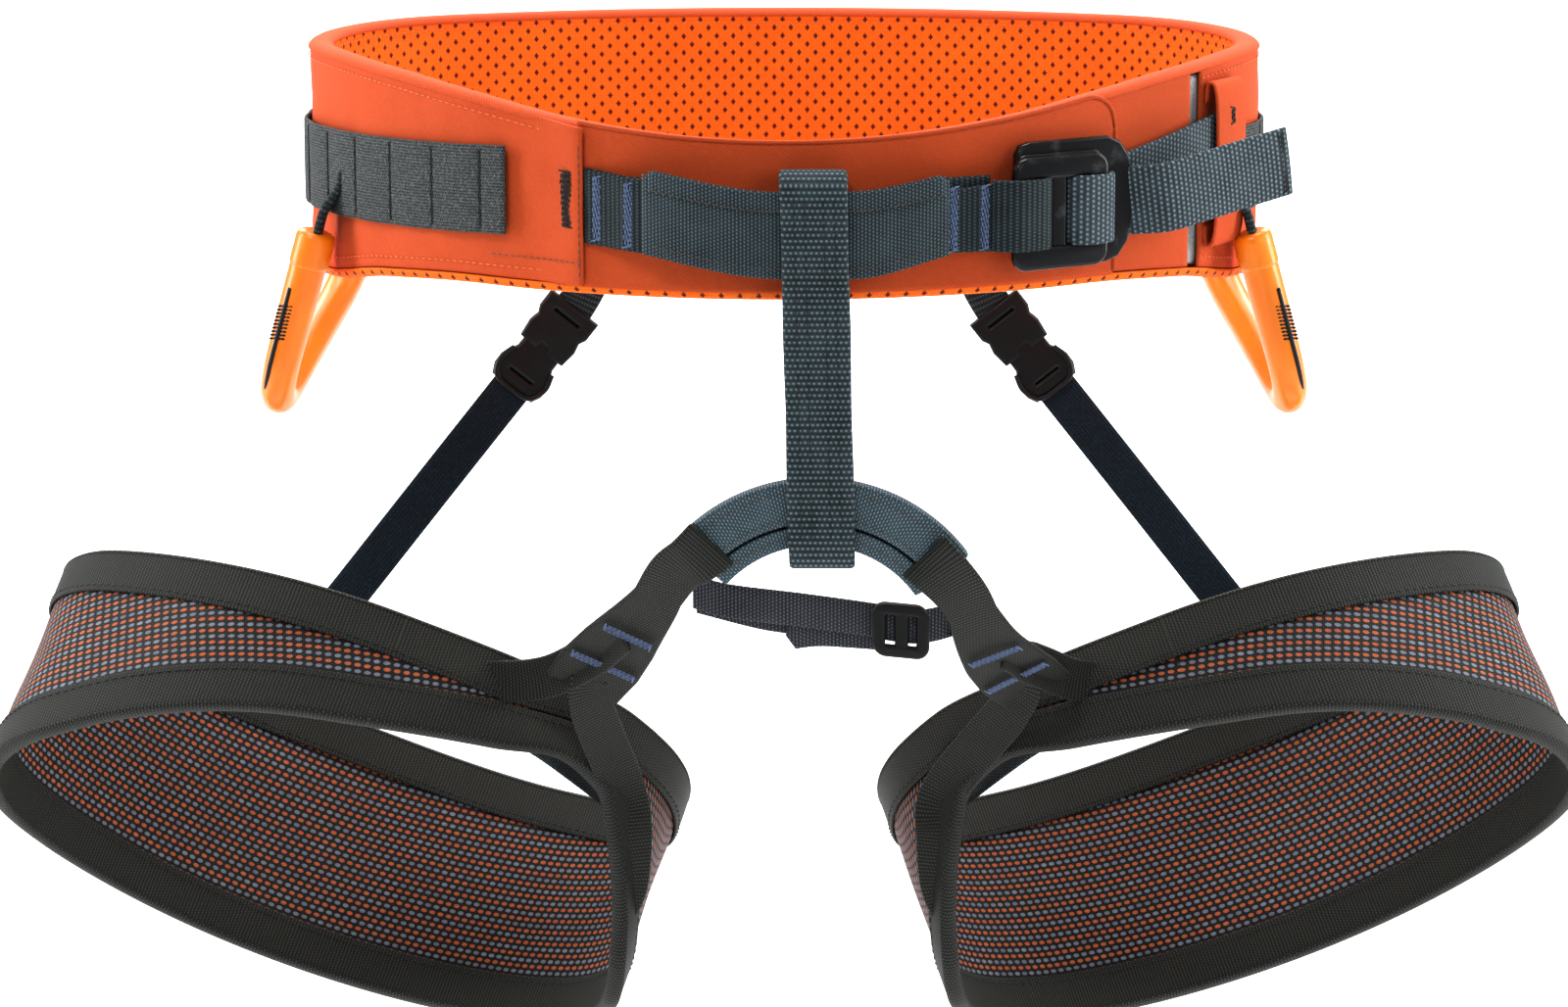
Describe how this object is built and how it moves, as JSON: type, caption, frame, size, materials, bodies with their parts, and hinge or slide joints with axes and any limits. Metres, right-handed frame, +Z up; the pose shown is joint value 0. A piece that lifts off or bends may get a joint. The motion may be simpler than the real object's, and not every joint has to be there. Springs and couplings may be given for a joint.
{
  "type": "climbing sit harness",
  "caption": "Light climbing sit harness: padded waistbelt with buckle, belay loop, leg bridge, mesh leg loops, elastic risers and plastic gear loops.",
  "frame": {"origin": "centre of the waistbelt ring at mid-height, at the waist_opening mount", "axes": "+Z up as worn, front and belay loop towards -Y, +X to the viewer's right (the wearer's left)"},
  "size_m": [0.501, 0.2073, 0.3148],
  "materials": {
    "shell_cloth": "stretch twill softshell",
    "lining_mesh": "spacer mesh with small diamond holes",
    "core_foam": "pale foam and laminate",
    "grey_elastic": "melange elastic webbing",
    "dark_webbing": "close plain weave",
    "sleeve_webbing": "tubular webbing",
    "tail_webbing": "coarse ribbed webbing",
    "black_metal": "black anodised, rubbed edges",
    "black_plastic": "moulded acetal",
    "gear_plastic": "satin moulded tube",
    "insert_black": "ribbed strip",
    "leg_mesh": "open knit, orange and grey rows",
    "binding_tape": "ribbed grosgrain",
    "riser_elastic": "navy elastic",
    "label_cloth": "plain sewn label, no text"
  },
  "bodies": {
    "root": {"waist_core": "core_foam", "waist_lining": "lining_mesh", "waist_shell": "shell_cloth", "front_flap": "shell_cloth", "gear_strip_left": "grey_elastic", "gear_strip_right": "grey_elastic", "tie_in_webbing": "dark_webbing", "webbing_fold_left": "dark_webbing", "webbing_fold_right": "dark_webbing", "tie_in_sleeve": "sleeve_webbing", "buckle_frame": "black_metal", "buckle_webbing_turn": "dark_webbing", "waist_webbing_strand": "tail_webbing", "tail_keeper": "shell_cloth", "bridge_webbing": "dark_webbing", "bridge_sleeve_front": "sleeve_webbing", "bridge_sleeve_back": "sleeve_webbing", "cross_strap": "tail_webbing", "cross_strap_end": "tail_webbing", "cross_strap_tail": "tail_webbing", "riser_tab_left": "dark_webbing", "riser_tab_right": "dark_webbing", "gear_tab_left_front": "dark_webbing", "gear_tab_left_back": "dark_webbing", "gear_tab_right_front": "dark_webbing", "gear_tab_right_back": "dark_webbing"},
    "buckle_slider": {"buckle_slider": "black_metal"},
    "webbing_tail": {"webbing_tail": "tail_webbing"},
    "belay_loop": {"belay_loop": "dark_webbing"},
    "cross_strap_slider": {"cross_strap_slider": "black_plastic"},
    "leg_loop_left": {"leg_panel_left": "leg_mesh", "leg_top_binding_left": "binding_tape", "leg_bottom_binding_left": "binding_tape", "leg_junction_left": "dark_webbing", "thigh_link_left": "dark_webbing", "clip_socket_left": "black_plastic", "clip_plug_left": "black_plastic", "riser_elastic_left": "riser_elastic"},
    "gear_loop_left": {"gear_loop_left": "gear_plastic", "gear_insert_left": "insert_black"},
    "leg_loop_right": {"leg_panel_right": "leg_mesh", "leg_top_binding_right": "binding_tape", "leg_bottom_binding_right": "binding_tape", "leg_junction_right": "dark_webbing", "thigh_link_right": "dark_webbing", "clip_socket_right": "black_plastic", "clip_plug_right": "black_plastic", "riser_elastic_right": "riser_elastic", "leg_label": "label_cloth"},
    "gear_loop_right": {"gear_loop_right": "gear_plastic", "gear_insert_right": "insert_black"}
  },
  "joints": [
    {"name": "leg_swing_left", "type": "hinge", "parent": "root", "child": "leg_loop_left", "pos_m": [-0.02501, -0.126, -0.10394], "axis": [-0.1931, 0.949, 0.2493], "range_deg": [-5, 12]},
    {"name": "leg_swing_right", "type": "hinge", "parent": "root", "child": "leg_loop_right", "pos_m": [0.04728, -0.126, -0.10836], "axis": [-0.0836, -0.9581, -0.2739], "range_deg": [-5, 12]},
    {"name": "gear_loop_lift_left", "type": "hinge", "parent": "root", "child": "gear_loop_left", "pos_m": [-0.1385, 0.0055, -0.02], "axis": [0.1219, 0.9925, 0], "range_deg": [0, 50]},
    {"name": "gear_loop_lift_right", "type": "hinge", "parent": "root", "child": "gear_loop_right", "pos_m": [0.1385, 0.0055, -0.02], "axis": [0.1219, -0.9925, 0], "range_deg": [0, 50]},
    {"name": "buckle_slider_tilt", "type": "hinge", "parent": "root", "child": "buckle_slider", "pos_m": [0.09713, -0.09583, 0], "axis": [0, 0, 1], "range_deg": [0, 18]},
    {"name": "tail_slide", "type": "slide", "parent": "root", "child": "webbing_tail", "axis": [0.8281, 0.5378, 0.158], "range_m": [0, 0.015]},
    {"name": "belay_loop_slide", "type": "slide", "parent": "root", "child": "belay_loop", "axis": [1, 0, 0], "range_m": [-0.003, 0.003]},
    {"name": "cross_slider_slide", "type": "slide", "parent": "root", "child": "cross_strap_slider", "axis": [1, 0, 0], "range_m": [-0.004, 0.002]}
  ]
}
